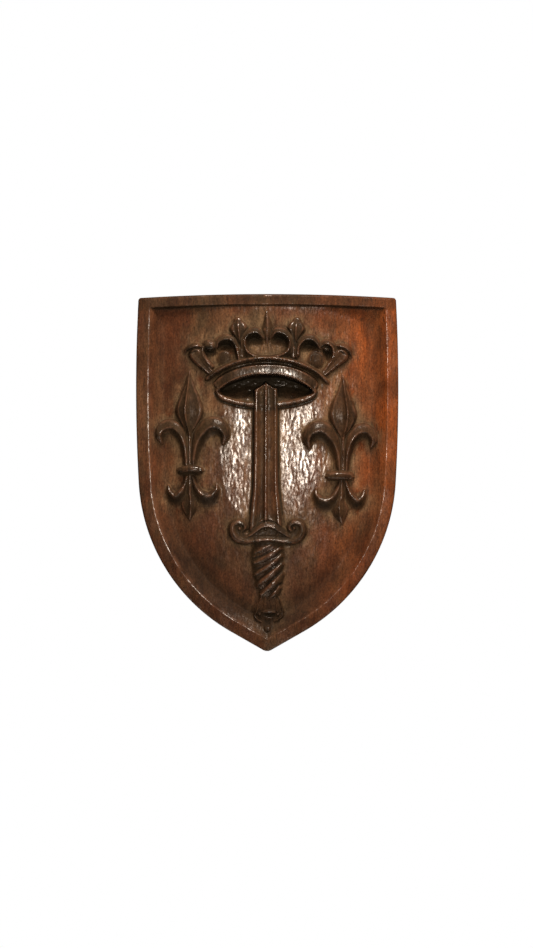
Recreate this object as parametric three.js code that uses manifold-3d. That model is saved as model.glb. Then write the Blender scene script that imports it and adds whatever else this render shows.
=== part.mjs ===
// A heraldic wall shield carved from one thick board: a heater outline with a raised rim round a domed
// field, which carries a sword standing in a crown, between two fleurs-de-lis.
// Millimetres. X runs to the right, Z up, and the carved front faces -Y. The flat back lies in the
// plane Y = 0, and the origin is on it, on the centre line, at the level where the shield is widest.
import * as THREE from "three";
import Module from "manifold-3d";

const wasm = await Module();
wasm.setup();

// ---- Driving dimensions -----------------------------------------------------------------------

const HALF_WIDTH = 150; // from the centre line to the widest point of the side
const TOP = 108; // the top edge above the widest point, on the centre line
const TOP_RADIUS = 2360; // the top edge bows up slightly
const SIDE_RADIUS = 1930; // the long, almost straight arc of the side
const SIDE_TURN = THREE.MathUtils.degToRad(3.2); // where it hands over to the lower arc
const LOWER_RADIUS = 209.5;
const LOWER_TURN = THREE.MathUtils.degToRad(60.3); // where the lower arc runs out straight to the tip
const CORNER_ROUND = 3.5; // worn corners at the top, and the worn tip
const TIP_ROUND = 6;

const RIM_THICK = 36; // from the back to the arris of the rim
const FIELD_THICK = 24; // from the back to the field where it meets the cove
const DOME_RISE = 15; // how much the field swells towards its middle
const DOME_LEVEL = -72; // height of the fullest part of the dome
const DOME_REACH_UP = 275; // how far above that level the swell would die out
const DOME_REACH_DOWN = 199;

const CHARGE_FOOT = 3; // how deep the foot of each charge is let into the field
const BACK_ROUND = 1.2; // worn edge round the back

// ---- Outline ----------------------------------------------------------------------------------

// The arcs of the outline, moved inwards by an inset: one for the sides and one for the top edge.
// Returns the right half as [x, z] pairs, from the top centre round to the tip.
function halfOutline(inset, topInset) {
  const sideR = SIDE_RADIUS - inset;
  const topR = TOP_RADIUS - topInset;
  const sideX = HALF_WIDTH - SIDE_RADIUS;
  const topZ = TOP - TOP_RADIUS;
  // The corner is where the top arc and the side arc cross.
  const between = Math.hypot(sideX, topZ);
  const along = (topR ** 2 - sideR ** 2 + between ** 2) / (2 * between);
  const off = Math.sqrt(topR ** 2 - along ** 2);
  const toX = sideX / between;
  const toZ = -topZ / between;
  const corner = [along * toX + off * toZ, topZ + along * toZ - off * toX];

  const lowerX = sideX + (SIDE_RADIUS - LOWER_RADIUS) * Math.cos(SIDE_TURN);
  const lowerZ = -(SIDE_RADIUS - LOWER_RADIUS) * Math.sin(SIDE_TURN);
  const lowerR = LOWER_RADIUS - inset;

  const points = [];
  const topSteps = 5;
  const cornerRound = Math.max(CORNER_ROUND - topInset, 0.4);
  for (let i = 0; i < topSteps; i++) {
    const x = ((corner[0] - cornerRound) * i) / (topSteps - 1);
    points.push([x, topZ + Math.sqrt(topR ** 2 - x ** 2)]);
  }
  const soft = cornerRound * (1 - Math.SQRT1_2);
  points.push([corner[0] - soft, corner[1] - soft]);
  const sideStart = Math.asin((corner[1] - cornerRound) / sideR);
  const sideSteps = 5;
  for (let i = 0; i < sideSteps; i++) {
    const a = sideStart + ((-SIDE_TURN - sideStart) * i) / (sideSteps - 1);
    points.push([sideX + sideR * Math.cos(a), sideR * Math.sin(a)]);
  }
  const lowerSteps = 10;
  for (let i = 1; i <= lowerSteps; i++) {
    const a = SIDE_TURN + ((LOWER_TURN - SIDE_TURN) * i) / lowerSteps;
    points.push([lowerX + lowerR * Math.cos(a), lowerZ - lowerR * Math.sin(a)]);
  }
  // The last stretch is straight, down to a tip that is worn round.
  const [endX, endZ] = points[points.length - 1];
  const slope = 1 / Math.tan(LOWER_TURN);
  const tipRound = Math.max(TIP_ROUND - inset, 0.6);
  const tipX = Math.min(tipRound * Math.sin(LOWER_TURN), endX / 2);
  points.push([tipX, endZ - (endX - tipX) * slope]);
  points.push([0, endZ - endX * slope + tipX * slope * 0.5]);
  return points;
}

// The whole closed outline, clockwise from the top centre as seen from the front.
function outline(inset, topInset = inset) {
  const right = halfOutline(inset, topInset);
  const left = right.slice(1, -1).map(([x, z]) => [-x, z]);
  return [...right, ...left.reverse()];
}

// ---- Field ------------------------------------------------------------------------------------

const RIM_WIDTH = 13.4; // from the outside to the arris of the rim
const COVE_WIDTH = 30; // from the outside to the field, at the sides
const TOP_COVE_WIDTH = 18; // the same at the top edge, where the rim drops steeply

// Half width of the field at a height, from the same arcs as the outline.
function fieldHalfWidth(z) {
  const lowerX = HALF_WIDTH - SIDE_RADIUS + (SIDE_RADIUS - LOWER_RADIUS) * Math.cos(SIDE_TURN);
  const lowerZ = -(SIDE_RADIUS - LOWER_RADIUS) * Math.sin(SIDE_TURN);
  const turnZ = -SIDE_RADIUS * Math.sin(SIDE_TURN);
  const radius = LOWER_RADIUS - COVE_WIDTH;
  const straightX = lowerX + radius * Math.cos(LOWER_TURN);
  const straightZ = lowerZ - radius * Math.sin(LOWER_TURN);
  if (z > turnZ) {
    const sideR = SIDE_RADIUS - COVE_WIDTH;
    return HALF_WIDTH - SIDE_RADIUS + Math.sqrt(sideR ** 2 - z ** 2);
  }
  if (z > straightZ) return lowerX + Math.sqrt(radius ** 2 - (lowerZ - z) ** 2);
  return Math.max(straightX - (straightZ - z) * Math.tan(LOWER_TURN), 0.01);
}

// Depth of the domed field in front of the back, without the charges.
function fieldDepth(x, z) {
  const reach = z > DOME_LEVEL ? DOME_REACH_UP : DOME_REACH_DOWN;
  const lengthwise = Math.max(1 - ((z - DOME_LEVEL) / reach) ** 2, 0);
  const across = Math.max(1 - (x / fieldHalfWidth(z)) ** 2, 0);
  return FIELD_THICK + DOME_RISE * lengthwise * across;
}

// ---- Solids -----------------------------------------------------------------------------------

// A closed solid through rings of [x, y, z] corners, with a fan on the first and the last ring. Seen
// from the end that the rings run towards, their corners go clockwise.
function loft(rings) {
  const count = rings[0].length;
  const corners = rings.flat();
  const faces = [];
  for (let r = 0; r + 1 < rings.length; r++) {
    for (let i = 0; i < count; i++) {
      const a = r * count + i;
      const b = r * count + ((i + 1) % count);
      faces.push([a, b, b + count], [a, b + count, a + count]);
    }
  }
  for (const [ring, first] of [[rings[0], 0], [rings.at(-1), (rings.length - 1) * count]]) {
    const hub = corners.length;
    corners.push([0, 1, 2].map((k) => ring.reduce((sum, c) => sum + c[k], 0) / count));
    for (let i = 0; i < count; i++) {
      const a = first + i;
      const b = first + ((i + 1) % count);
      faces.push(first === 0 ? [b, a, hub] : [a, b, hub]);
    }
  }
  const geometry = new THREE.BufferGeometry();
  geometry.setAttribute("position", new THREE.Float32BufferAttribute(corners.flat(), 3));
  geometry.setIndex(faces.flat());
  return geometry;
}

function solid(geometry) {
  return new wasm.Manifold(
    new wasm.Mesh({
      numProp: 3,
      vertProperties: geometry.attributes.position.array,
      triVerts: new Uint32Array(geometry.index.array),
    }),
  );
}

// Sections of a carved stroke: [across, lift] pairs from one edge to the other, across in half
// widths and lift as a share of the stroke's rise.
const ROUND = [[-1, 0.2], [-0.62, 0.78], [0, 1], [0.62, 0.78], [1, 0.2]];
const RIDGED = [[-1, 0.3], [0, 1], [1, 0.3]];
const HOLLOW = [[-1, 1], [0, 0.72], [1, 1]];
const BLADE = [[-1, 0.8], [-0.84, 0.92], [-0.46, 0.4], [-0.12, 0.5], [0, 1],
  [0.12, 0.5], [0.46, 0.4], [0.84, 0.92], [1, 0.8]];
const INNER_ARRIS = [[-1, 0.35], [-0.2, 0.72], [0.72, 1], [1, 0.25]];
const OUTER_ARRIS = [[-1, 0.25], [-0.72, 1], [0.2, 0.72], [1, 0.35]];

// One carved stroke. Each mark is [x, down from the top edge, half width, rise above the field];
// the route and the sizes run smoothly through the marks.
function stroke(marks, section, steps) {
  const route = new THREE.SplineCurve(marks.map(([x, down]) => new THREE.Vector2(x, TOP - down)));
  const sizes = new THREE.SplineCurve(marks.map(([, , half, rise]) => new THREE.Vector2(half, rise)));
  const rings = [];
  for (let i = 0; i <= steps; i++) {
    const centre = route.getPoint(i / steps);
    const along = route.getTangent(i / steps);
    const { x: half, y: rise } = sizes.getPoint(i / steps);
    const corner = (across, lift, sink) => {
      const x = centre.x + along.y * across * half;
      const z = centre.y - along.x * across * half;
      return [x, sink - fieldDepth(x, z) - lift * rise, z];
    };
    const ring = section.map(([across, lift]) => corner(across, lift, 0));
    ring.push(corner(1, 0, CHARGE_FOOT), corner(-1, 0, CHARGE_FOOT));
    rings.push(ring);
  }
  return solid(loft(rings));
}

const mirrored = (marks) => marks.map(([x, down, half, rise]) => [-x, down, half, rise]);

// The same stroke on the right and on the left. Travel stays the same, so the section swaps sides.
function pair(marks, section, steps) {
  const swapped = section.map(([across, lift]) => [-across, lift]).reverse();
  return [stroke(marks, section, steps), stroke(mirrored(marks), swapped, steps)];
}

// ---- The board --------------------------------------------------------------------------------

function board() {
  // [side inset, top inset, depth, how far below the field the dome may cover this ring]
  const profile = [
    [BACK_ROUND, BACK_ROUND, 0],
    [0, 0, BACK_ROUND],
    [0, 0, RIM_THICK - 5],
    [0.9, 0.9, RIM_THICK - 2.8],
    [3, 3, RIM_THICK - 1.8],
    [RIM_WIDTH - 0.6, RIM_WIDTH - 0.6, RIM_THICK],
    [RIM_WIDTH + 0.8, RIM_WIDTH + 0.6, RIM_THICK - 0.7],
    [21, RIM_WIDTH + 3, RIM_THICK - 8, 1.6],
    [25.5, RIM_WIDTH + 4.2, FIELD_THICK + 1.2, 0.8],
    [COVE_WIDTH, TOP_COVE_WIDTH, FIELD_THICK, 0],
  ];
  const rings = profile.map(([inset, topInset, depth, below]) =>
    outline(inset, topInset).map(([x, z]) => {
      const covered = below === undefined ? 0 : fieldDepth(x, z) - below;
      return [x, -Math.max(depth, covered), z];
    }),
  );
  // The field closes in on the middle of the dome.
  const edge = outline(COVE_WIDTH, TOP_COVE_WIDTH);
  for (const share of [0.84, 0.66, 0.46, 0.24]) {
    rings.push(
      edge.map(([edgeX, edgeZ]) => {
        const x = edgeX * share;
        const z = DOME_LEVEL + (edgeZ - DOME_LEVEL) * share;
        return [x, -fieldDepth(x, z), z];
      }),
    );
  }
  return solid(loft(rings.reverse()));
}

// ---- The crown --------------------------------------------------------------------------------

const RING_CENTRE = 112; // the circlet's opening, down from the top edge
const RING_HALF_WIDTH = 56;
const RING_HALF_HEIGHT = 17.5;
const RING_DEPTH = 24; // how deep the opening is cut below its rim

function ellipseRing(centreDown, halfWidth, halfHeight, depth, steps) {
  return Array.from({ length: steps }, (_, i) => {
    const a = (-2 * Math.PI * i) / steps;
    return [halfWidth * Math.sin(-a), -depth, TOP - centreDown + halfHeight * Math.cos(a)];
  });
}

// The hollow inside the circlet is deepest under the front band.
function crownHollow() {
  const front = fieldDepth(0, TOP - RING_CENTRE) + 14;
  const levels = [[0, 1, 1, 0], [14, 1, 1, 0], [20, 0.95, 0.8, 2], [14 + RING_DEPTH * 0.8, 0.85, 0.45, 7]];
  const rings = levels.map(([sunk, wide, high, up]) =>
    ellipseRing(RING_CENTRE - up, RING_HALF_WIDTH * wide - 2, RING_HALF_HEIGHT * high, front - sunk, 24),
  );
  return solid(loft(rings));
}

function crownBand() {
  return [
    stroke([[-66, 101, 3, 8], [-44, 86, 3.4, 9], [0, 77, 3.6, 10], [44, 86, 3.4, 9], [66, 102, 3, 8]],
      ROUND, 14),
    stroke([[-61, 108, 3.5, 5], [-40, 93, 6.5, 7], [0, 86, 7, 8], [40, 93, 6.5, 7], [61, 108, 3.5, 5]],
      HOLLOW, 12),
    stroke([[-58, 112, 1.8, 5], [-38, 97.5, 2, 8], [0, 92, 2, 9], [38, 97.5, 2, 8], [58, 112, 1.8, 5]],
      RIDGED, 12),
    stroke([[-57, 112, 1.6, 4], [-49, 119.5, 2.2, 3], [-26, 126.5, 2.4, 3], [0, 129, 2.4, 3],
      [26, 126.5, 2.4, 3], [49, 119.5, 2.2, 3], [57, 112, 1.6, 4]], ROUND, 14),
  ];
}

function crownLeaves() {
  return [
    stroke([[0, 46, 4.5, 6], [0, 39, 5.8, 7], [0, 30, 3.2, 6], [0, 19.5, 0.5, 2]], RIDGED, 6),
    // the two lobes of the middle fleuron run round their openings down to the bead
    ...pair([[0.5, 50, 1.6, 4], [5, 43.5, 2.8, 7], [14, 41.5, 3.4, 8], [24.5, 47, 3.2, 8],
      [28, 59, 2.8, 8], [22, 71, 2.6, 7], [12, 77, 2, 6]], ROUND, 14),
    // buds between the fleurons
    ...pair([[37, 68, 2.2, 5], [35, 54, 4, 6.5], [33.5, 41, 8, 7.5], [32, 34, 4.5, 6], [31, 30, 0.6, 3]],
      RIDGED, 7),
    // side loops
    ...pair([[37, 75, 2, 5], [36.5, 66, 2.8, 7], [41, 57.5, 3.2, 7.5], [49, 54, 3.4, 7.5],
      [56.5, 58, 3, 7], [60, 66, 1.6, 4]], ROUND, 9),
    // small scrolls between the side loops and the end leaves
    ...pair([[59, 66, 1.5, 4], [64, 61.5, 3, 7], [71, 64, 3.4, 7], [73.5, 72, 3, 6.5], [70, 80, 2, 5]],
      ROUND, 8),
    // end leaves sweep out from the ends of the band
    ...pair([[63, 98, 2.5, 5], [69, 86, 5, 7], [79, 75, 6.5, 7], [88, 69, 4, 5.5], [95.5, 68, 0.6, 3]],
      RIDGED, 8),
  ];
}

// ---- The sword --------------------------------------------------------------------------------

const GUARD_SCROLL_X = 32.5;
const GUARD_SCROLL_DOWN = 269;

function guardScroll() {
  // winds in from under the block, out round the end and over the top to the eye
  const windings = 1.15;
  const marks = [];
  for (let i = 0; i <= 10; i++) {
    const t = i / 10;
    const angle = Math.PI * (0.55 - 2 * windings * t);
    const radius = 9.4 - 5.8 * t;
    marks.push([
      GUARD_SCROLL_X + radius * Math.cos(angle),
      GUARD_SCROLL_DOWN + 1 + radius * Math.sin(angle),
      3.4 - 1.4 * t,
      8.5 - 1.5 * t,
    ]);
  }
  return marks;
}

function sword() {
  const parts = [
    stroke([[-1, 103.5, 3, 2], [-1, 109, 13.2, 7], [-1, 160, 13.7, 7], [-1, 215, 13.8, 7], [-1, 272, 16, 7]],
      BLADE, 10),
    // the guard: an arched block between two scrolls, over a lower flange
    stroke([[-30, 277, 7, 6], [-15, 274.5, 9, 7], [0, 273.5, 9.5, 7.5], [15, 274.5, 9, 7], [30, 277, 7, 6]],
      HOLLOW, 10),
    stroke([[-26, 276, 2.2, 7], [-14, 268, 3, 9], [0, 263.5, 3.4, 10], [14, 268, 3, 9], [26, 276, 2.2, 7]],
      ROUND, 10),
    stroke([[-30, 283, 2.6, 8], [0, 281, 2.8, 9.5], [30, 283, 2.6, 8]], ROUND, 8),
    ...pair(guardScroll(), ROUND, 16),
    // the grip, with the strands of its binding rising to the right
    stroke([[0, 284, 15, 8], [0, 302, 17, 10], [0, 325, 14, 9.5], [0, 347, 9, 8]], ROUND, 8),
  ];
  const strands = 5;
  for (let i = 0; i < strands; i++) {
    const down = 299 + i * 11.5;
    const half = 16.5 - 1.7 * i;
    const climb = 0.55 + 0.09 * i;
    parts.push(
      stroke([[-half + 1, down + half * climb, 2, 5], [-half * 0.5, down + half * climb * 0.5, 2.6, 10],
        [0, down, 2.8, 12], [half * 0.5, down - half * climb * 0.5, 2.6, 10],
        [half - 1, down - half * climb, 2, 5]], ROUND, 6),
    );
  }
  parts.push(
    // the pommel: a ribbed bell, a lip and small curls under it, then a drop that ends in a ball
    stroke([[0, 345, 9, 7.5], [0, 352, 12.5, 7.5], [0, 360, 18, 7], [0, 364, 20, 6], [0, 367, 15, 4]],
      HOLLOW, 7),
    stroke([[0, 345, 5, 8.5], [0, 356, 7.5, 9], [0, 365, 9.5, 9.5]], ROUND, 4),
    ...pair([[6, 364, 1.6, 8], [11, 362.5, 2, 8], [14, 365.5, 1.8, 7], [11.5, 369, 1.2, 5]], ROUND, 6),
    stroke([[0, 362, 13, 5], [0, 370, 8, 6], [0, 378, 3.4, 5.5]], RIDGED, 4),
    stroke([[0, 379.5, 1.2, 4], [0, 382, 3.2, 7], [0, 385, 3.4, 7.5], [0, 388.5, 1.2, 4]], ROUND, 6),
  );
  return parts;
}

// ---- A fleur-de-lis ---------------------------------------------------------------------------

// Marks are given about the flower's own centre line and its top, and moved into place here.
function fleurDeLis(centreX, topDown) {
  const placed = (marks) => marks.map(([x, down, half, rise]) => [centreX + x, topDown + down, half, rise]);
  const both = (marks, section, steps) => {
    const swapped = section.map(([across, lift]) => [-across, lift]).reverse();
    return [stroke(placed(marks), section, steps), stroke(placed(mirrored(marks)), swapped, steps)];
  };
  return [
    // middle petal, with a sharp ridge
    stroke(placed([[0, 0, 0.5, 2], [0, 16, 4.5, 6], [0, 32, 11, 8], [0, 46, 15.5, 9], [0, 60, 9.5, 8],
      [0, 76, 3.5, 6]]), RIDGED, 11),
    // side petals curl over and down
    ...both([[4, 110, 2.4, 5], [5, 96, 3, 6.5], [9, 76, 4.6, 8], [20, 63, 7, 9], [31, 63, 7.5, 9],
      [36.5, 73, 5, 7.5], [34.5, 84, 1, 4]], OUTER_ARRIS, 13),
    stroke(placed([[0, 72, 3, 6], [0, 112, 4, 6.5]]), RIDGED, 2),
    // collar
    stroke(placed([[-16.5, 118, 4.5, 5.5], [-8, 115, 4.6, 8], [0, 114, 4.8, 9.5], [8, 115, 4.6, 8],
      [16.5, 118, 4.5, 5.5]]), ROUND, 8),
    // lower curls
    ...both([[2.5, 120, 2, 6], [7, 134, 3.4, 7], [14, 144, 5, 8], [23, 147.5, 5.6, 8],
      [29, 143, 3.6, 6.5], [30, 135, 1, 4]], INNER_ARRIS, 10),
    // pendant leaf
    stroke(placed([[0, 118, 2.2, 6], [0, 138, 4, 6.5], [0, 153, 9.6, 7], [0, 162, 5.5, 6], [0, 170, 0.6, 3]]),
      RIDGED, 8),
  ];
}

// ---- Assembly ---------------------------------------------------------------------------------

const LEFT_FLOWER = [-88, 91];
const RIGHT_FLOWER = [86.5, 94];

function carvedShield() {
  let carving = board();
  for (const part of [...crownLeaves(), ...crownBand()]) carving = carving.add(part);
  carving = carving.subtract(crownHollow());
  const charges = [...sword(), ...fleurDeLis(...LEFT_FLOWER), ...fleurDeLis(...RIGHT_FLOWER)];
  for (const part of charges) carving = carving.add(part);
  const cut = carving.getMesh();
  const geometry = new THREE.BufferGeometry();
  geometry.setAttribute("position", new THREE.BufferAttribute(cut.vertProperties, 3));
  geometry.setIndex(new THREE.BufferAttribute(cut.triVerts, 1));
  geometry.computeVertexNormals();
  const wood = new THREE.MeshStandardMaterial({ color: 0x4a2a1a, roughness: 0.42, metalness: 0 });
  const mesh = new THREE.Mesh(geometry, wood);
  mesh.name = "carved_shield";
  return mesh;
}

const shield = new THREE.Group();
shield.add(carvedShield());

export default shield;
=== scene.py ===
import math

import bpy
import numpy as np
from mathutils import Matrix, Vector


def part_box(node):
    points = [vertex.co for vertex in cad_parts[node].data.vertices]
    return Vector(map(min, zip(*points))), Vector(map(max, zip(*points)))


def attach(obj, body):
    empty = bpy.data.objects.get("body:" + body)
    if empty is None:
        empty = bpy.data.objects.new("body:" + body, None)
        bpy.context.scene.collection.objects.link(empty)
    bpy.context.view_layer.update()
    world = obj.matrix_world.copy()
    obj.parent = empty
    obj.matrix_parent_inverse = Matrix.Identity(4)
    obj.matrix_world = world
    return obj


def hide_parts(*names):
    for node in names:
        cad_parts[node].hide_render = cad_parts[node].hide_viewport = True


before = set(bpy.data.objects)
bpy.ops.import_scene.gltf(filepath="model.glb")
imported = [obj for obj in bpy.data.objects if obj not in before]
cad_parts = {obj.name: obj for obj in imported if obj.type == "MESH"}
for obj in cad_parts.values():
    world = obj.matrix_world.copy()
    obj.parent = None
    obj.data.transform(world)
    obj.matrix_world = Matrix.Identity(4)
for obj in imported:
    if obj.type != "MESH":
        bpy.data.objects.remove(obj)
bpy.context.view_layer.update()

# ---- The board ---------------------------------------------------------------------------------
# One thick board of open-grained wood, sawn to the outline of a heater shield. The carver left a rim
# standing all round, cut a hollow cove inside it, and let the field swell into a dome.

# It is laid out in millimetres: x to the right, down from the middle of the top edge, and height out
# from the back.
MM = 0.001
board_low, board_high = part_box("carved_shield")
HALF_WIDTH = (board_high[0] - board_low[0]) / 2 / MM
WIDEST = board_high[2] / MM                         # the widest level, down from the top edge
LENGTH = (board_high[2] - board_low[2]) / MM

TOP_RADIUS = 2360.0                                 # the top edge bows up slightly
SIDE_RADIUS = 1930.0                                # the long arc of the side
SIDE_TURN = math.radians(3.2)                       # where it hands over to the lower arc
LOWER_RADIUS = 209.5
LOWER_TURN = math.radians(60.3)                     # where that runs out straight to the tip
SIDE_X = HALF_WIDTH - SIDE_RADIUS
LOWER_X = SIDE_X + (SIDE_RADIUS - LOWER_RADIUS) * math.cos(SIDE_TURN)
LOWER_DOWN = WIDEST + (SIDE_RADIUS - LOWER_RADIUS) * math.sin(SIDE_TURN)
END_X = LOWER_X + LOWER_RADIUS * math.cos(LOWER_TURN)
END_DOWN = LOWER_DOWN + LOWER_RADIUS * math.sin(LOWER_TURN)
POINT_DOWN = END_DOWN + END_X / math.tan(LOWER_TURN)
TIP_ROUND = (POINT_DOWN - LENGTH) / (1 / math.sin(LOWER_TURN) - 1)
CORNER_ROUND = 3.5

# Height in front of the back against the distance in from the outside.
RIM_OUTSIDE = [(0, 31), (0.35, 32), (0.9, 32.7), (1.8, 33.2), (4, 33.9), (9, 35.2), (12.6, 36)]
RIM_TOP_OUTSIDE = [(0, 31), (0.35, 32.6), (0.9, 33.8), (1.8, 34.6), (4, 35.2), (9, 35.7), (12.6, 36)]
RIM_INSIDE = [(12, 36), (13.4, 36), (14.1, 35.8), (14.8, 35.1), (18, 32.3), (22, 29), (26, 26.6),
              (30, 25.1), (36, 24.2), (42, 24)]
RIM_TOP_INSIDE = [(12, 36), (12.4, 35.8), (12.9, 34.8), (13.5, 31.2), (15, 30.4), (22, 28), (32, 25.6),
                  (44, 24.3), (56, 24)]
RIM_SKEW = 0.9                                      # the rim is this much wider on the left
FIELD_HEIGHT = 24.0
FIELD_INSET = 22.0
DOME_RISE = 15.0
DOME_DOWN = WIDEST + 72.0                           # the fullest level of the dome
DOME_REACH_UP = 275.0
DOME_REACH_DOWN = 199.0


def inset_from_side(x, down):
    across = np.abs(x)
    turn = np.arctan2(down - LOWER_DOWN, across - LOWER_X)
    side = SIDE_RADIUS - np.hypot(across - SIDE_X, down - WIDEST)
    lower = LOWER_RADIUS - np.hypot(across - LOWER_X, down - LOWER_DOWN)
    straight = (LOWER_RADIUS - (across - LOWER_X) * math.cos(LOWER_TURN)
                - (down - LOWER_DOWN) * math.sin(LOWER_TURN))
    return np.where(turn < SIDE_TURN, side, np.where(turn < LOWER_TURN, lower, straight))


def inset_from_top(x, down):
    return TOP_RADIUS - np.hypot(x, TOP_RADIUS - down)


def half_width_at(down, inset=0.0):
    side = SIDE_X + np.sqrt((SIDE_RADIUS - inset) ** 2 - (down - WIDEST) ** 2)
    lower_r = LOWER_RADIUS - inset
    lower = LOWER_X + np.sqrt(np.maximum(lower_r ** 2 - (down - LOWER_DOWN) ** 2, 0))
    end_x = LOWER_X + lower_r * math.cos(LOWER_TURN)
    end_down = LOWER_DOWN + lower_r * math.sin(LOWER_TURN)
    straight = end_x - (down - end_down) * math.tan(LOWER_TURN)
    turn_down = LOWER_DOWN + lower_r * math.sin(SIDE_TURN)
    return np.where(down < turn_down, side, np.where(down < end_down, lower, straight))


def ramp(value, start, end):
    # 0 up to start, 1 from end on, and straight between; it falls where end is below start
    return np.clip((value - start) / (end - start), 0, 1)


def bare_board(x, down):
    from_side, from_top = inset_from_side(x, down), inset_from_top(x, down)
    outside = np.minimum(np.interp(from_side, *zip(*RIM_OUTSIDE)),
                         np.interp(from_top, *zip(*RIM_TOP_OUTSIDE)))
    inside = np.maximum(np.interp(from_side + RIM_SKEW * x / HALF_WIDTH, *zip(*RIM_INSIDE)),
                        np.interp(from_top, *zip(*RIM_TOP_INSIDE)))
    reach = np.where(down < DOME_DOWN, DOME_REACH_UP, DOME_REACH_DOWN)
    lengthwise = np.maximum(1 - ((down - DOME_DOWN) / reach) ** 2, 0)
    across = np.maximum(1 - (x / np.maximum(half_width_at(down, FIELD_INSET), 1)) ** 2, 0)
    across = 1.12 * across ** 2 / (across + 0.12)      # runs out softly into the cove
    swell = DOME_RISE * lengthwise * across
    swell *= ramp(from_top, 12.9, 13.9)
    rim_part = inside - FIELD_HEIGHT
    blended = np.where(rim_part > 0, np.cbrt(np.maximum(rim_part, 0) ** 3 + swell ** 3), rim_part + swell)
    return np.minimum(outside, FIELD_HEIGHT + blended)


# The front is worked out on a fine square net of points.
NET = 0.5
net_x = np.arange(-HALF_WIDTH - 3, HALF_WIDTH + 3.1, NET)
net_down = np.arange(-4, LENGTH + 4.1, NET)
X, DOWN = np.meshgrid(net_x, net_down)
ground = bare_board(X, DOWN)
relief = np.zeros_like(X)


# ---- The crown ---------------------------------------------------------------------------------
# An open crown seen a little from below, cut from the board with gouges: a circlet with a bead along
# its top and a sharp lip over a deep opening, and on it a middle fleuron of two lobes, buds, loops
# and a leaf at each end.

# A cut of the gouge, or a ridge left by it: each mark is x, down, half width, height above the ground,
# and, if its crest isn't in the middle, where that is, from -1 to 1. Plus is on the right of a
# stroke that runs down, and above one that runs to the right.
def run_through(marks, steps=7):
    rows = np.array([tuple(m) + (0.0,) * (5 - len(m)) for m in marks], float)
    rows = np.vstack([2 * rows[0] - rows[1], rows, 2 * rows[-1] - rows[-2]])
    t = np.linspace(0, 1, steps, endpoint=False)[:, None]
    out = []
    for a, b, c, d in zip(rows, rows[1:], rows[2:], rows[3:]):
        out.append(0.5 * (2 * b + (c - a) * t + (2 * a - 5 * b + 4 * c - d) * t ** 2
                          + (3 * b - 3 * c + d - a) * t ** 3))
    return np.vstack(out + [rows[-2:-1]])


def beside(route, margin):
    # the part of the net near the route, and there the signed distance and the route's sizes
    reach = route[:, 2].max() + margin
    cols = np.where((net_x > route[:, 0].min() - reach) & (net_x < route[:, 0].max() + reach))[0]
    rows = np.where((net_down > route[:, 1].min() - reach) & (net_down < route[:, 1].max() + reach))[0]
    patch = np.s_[rows[0]:rows[-1] + 1, cols[0]:cols[-1] + 1]
    px, pd = X[patch], DOWN[patch]
    best = np.full(px.shape, 1e9)
    signed = np.zeros(px.shape)
    sizes = np.zeros(px.shape + (3,))
    for a, b in zip(route, route[1:]):
        ex, ed = b[0] - a[0], b[1] - a[1]
        length = ex * ex + ed * ed
        if length < 1e-9:
            continue
        t = np.clip(((px - a[0]) * ex + (pd - a[1]) * ed) / length, 0, 1)
        dx, dd = px - a[0] - t * ex, pd - a[1] - t * ed
        away = dx * dx + dd * dd
        closer = away < best
        best = np.where(closer, away, best)
        signed = np.where(closer, np.sign(dx * ed - dd * ex) * np.sqrt(away), signed)
        sizes = np.where(closer[..., None], a[2:5] + t[..., None] * (b[2:5] - a[2:5]), sizes)
    return patch, signed, sizes


WALL = 2.7                                          # steepness of the carved walls


def carve(marks, section, wall=WALL):
    patch, signed, sizes = beside(run_through(marks), 5)
    half, rise, crest = np.maximum(sizes[..., 0], 0.05), sizes[..., 1], np.clip(sizes[..., 2], -0.9, 0.9)
    u = signed / half
    over = np.abs(u) > 1
    u = np.clip(u, -1, 1)
    u = np.where(u < crest, (u - crest) / (1 + crest), (u - crest) / (1 - crest))
    lift = rise * np.interp(u, *zip(*section))
    steep = wall[patch] if isinstance(wall, np.ndarray) else wall
    lift -= np.where(over, steep * (np.abs(signed) - half), 0)
    relief[patch] = np.maximum(relief[patch], lift)


def flipped(section):
    return [(-u, lift) for u, lift in reversed(section)]


# A sharp arris along its marks, with the shape on either side of it given in millimetres: each mark is
# x, down, how far the shape is spread, and height.
def arris(marks, across, wall=WALL):
    patch, signed, sizes = beside(run_through(marks), 14)
    spread = np.maximum(sizes[..., 0], 0.05)
    off = signed / spread
    beyond = np.maximum(across[0][0] - off, off - across[-1][0])
    lift = sizes[..., 1] * np.interp(off, *zip(*across)) - wall * spread * np.maximum(beyond, 0)
    relief[patch] = np.maximum(relief[patch], lift)


# A V cut with the knife, as half width and depth along its marks, black with old dirt and painted shade.
soot_and_shade = np.zeros_like(X)


def incise(marks, dirt_and_shade=1.0):
    patch, signed, sizes = beside(run_through(marks), 1)
    inside = np.clip(1 - np.abs(signed) / np.maximum(sizes[..., 0], 0.05), 0, 1)
    relief[patch] -= sizes[..., 1] * inside
    soot_and_shade[patch] = np.maximum(soot_and_shade[patch], dirt_and_shade * np.clip(1.4 * inside, 0, 1))


# A scoop, steep at its upper end and black there with dirt and painted shade under the overhang, and
# running out at its lower.
def scoop(centre_x, centre_down, half_wide, half_high, depth):
    u, v = (X - centre_x) / half_wide, (DOWN - centre_down) / half_high
    inside = np.clip(1 - u * u - v * v, 0, 1) ** 0.5 * np.clip(0.55 - 0.8 * v, 0, 1)
    relief[:] = np.minimum(relief, relief - depth * inside)
    soot_and_shade[:] = np.maximum(soot_and_shade, 0.9 * np.clip(1.5 * inside, 0, 1))


ROUND = [(u, math.sqrt(1 - (0.96 * u) ** 2)) for u in np.linspace(-1, 1, 15)]
RIDGE = [(-1, 0.4), (-0.5, 0.68), (0, 1), (0.5, 0.68), (1, 0.4)]
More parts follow.
